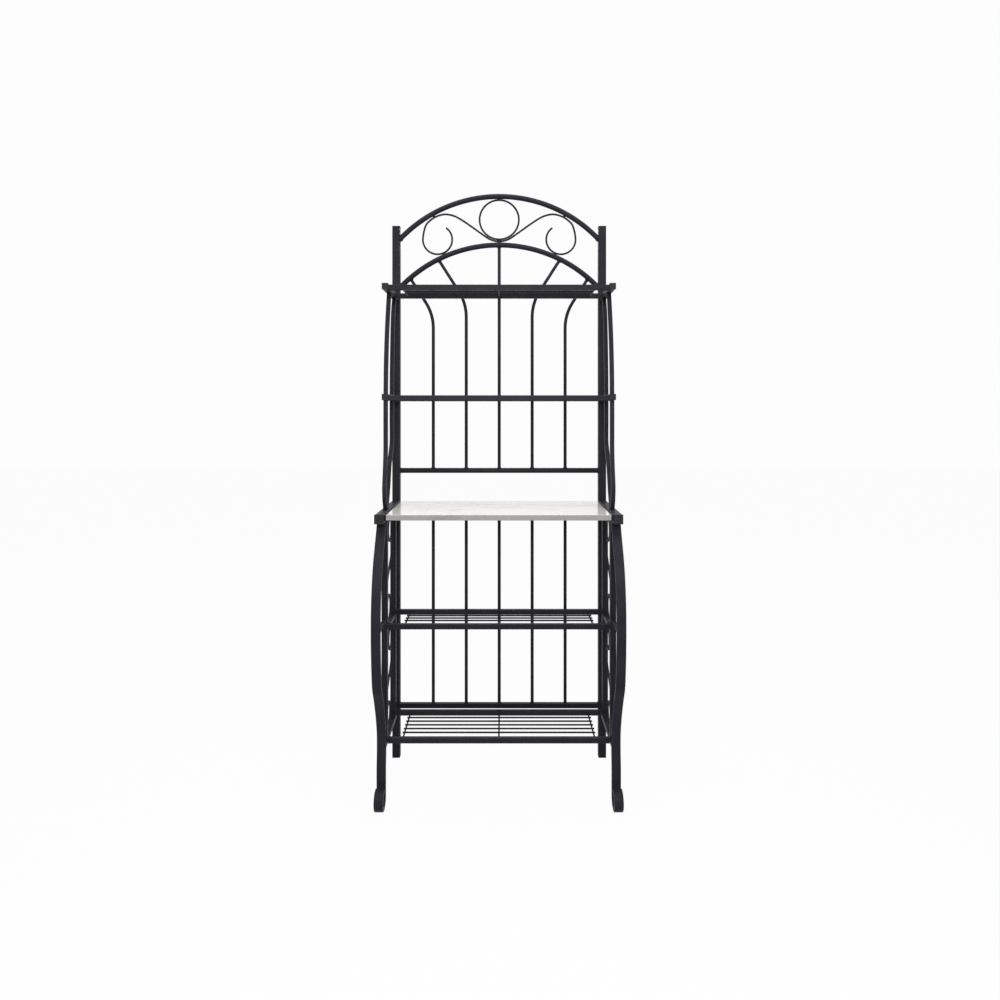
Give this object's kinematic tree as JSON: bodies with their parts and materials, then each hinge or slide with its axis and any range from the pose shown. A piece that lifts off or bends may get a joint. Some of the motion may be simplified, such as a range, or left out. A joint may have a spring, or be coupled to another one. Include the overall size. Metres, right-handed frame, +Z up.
{
  "type": "bakers rack",
  "caption": "Tall open metal bakers rack with an arched back, wire shelves, bowed front legs and a pale stone counter.",
  "frame": {"origin": "on the floor, under the middle of the rack's width and depth", "axes": "+Z up, +X to the right seen from the front, -Y towards the front, where the bowed legs and the counter's edge are"},
  "size_m": [0.671, 0.39, 1.766],
  "materials": {
    "black_powder_coat": "satin near-black powder coat",
    "black_plastic": "moulded matte plastic",
    "pale_stone": "polished off-white stone with faint veins"
  },
  "bodies": {
    "root": {"arch_ring": "black_powder_coat", "arch_scroll_wire": "black_powder_coat", "bottom_shelf": "black_powder_coat", "bottom_side_rail_left": "black_powder_coat", "bottom_side_rail_right": "black_powder_coat", "counter_rail_cap_left": "black_plastic", "counter_rail_cap_right": "black_plastic", "counter_side_rail_left": "black_powder_coat", "counter_side_rail_right": "black_powder_coat", "counter_slab": "pale_stone", "front_leg_left": "black_powder_coat", "front_leg_plug_left": "black_plastic", "front_leg_plug_right": "black_plastic", "front_leg_right": "black_powder_coat", "front_post_left": "black_powder_coat", "front_post_right": "black_powder_coat", "lower_arch": "black_powder_coat", "lower_back_rod_1": "black_powder_coat", "lower_back_rod_2": "black_powder_coat", "lower_back_rod_3": "black_powder_coat", "lower_back_rod_4": "black_powder_coat", "lower_back_rod_5": "black_powder_coat", "lower_panel_bottom_bar": "black_powder_coat", "lower_panel_top_bar": "black_powder_coat", "lower_side_bars_left": "black_powder_coat", "lower_side_bars_right": "black_powder_coat", "lower_side_scroll_left": "black_powder_coat", "lower_side_scroll_right": "black_powder_coat", "middle_shelf": "black_powder_coat", "middle_side_rail_left": "black_powder_coat", "middle_side_rail_right": "black_powder_coat", "rear_foot_glide_left": "black_plastic", "rear_foot_glide_right": "black_plastic", "rear_post_cap_left": "black_plastic", "rear_post_cap_right": "black_plastic", "rear_post_left": "black_powder_coat", "rear_post_right": "black_powder_coat", "tier_rail_cap_left": "black_plastic", "tier_rail_cap_right": "black_plastic", "tier_shelf": "black_powder_coat", "tier_side_rail_left": "black_powder_coat", "tier_side_rail_right": "black_powder_coat", "top_rail_cap_left": "black_plastic", "top_rail_cap_right": "black_plastic", "top_shelf": "black_powder_coat", "top_side_rail_left": "black_powder_coat", "top_side_rail_right": "black_powder_coat", "upper_arch": "black_powder_coat", "upper_back_rod_1": "black_powder_coat", "upper_back_rod_2": "black_powder_coat", "upper_back_rod_3": "black_powder_coat", "upper_back_rod_4": "black_powder_coat", "upper_back_rod_5": "black_powder_coat", "upper_inner_bar_left": "black_powder_coat", "upper_inner_bar_right": "black_powder_coat", "upper_outer_bar_left": "black_powder_coat", "upper_outer_bar_right": "black_powder_coat", "upper_panel_bar": "black_powder_coat", "upper_side_scroll_left": "black_powder_coat", "upper_side_scroll_right": "black_powder_coat"}
  },
  "joints": []
}
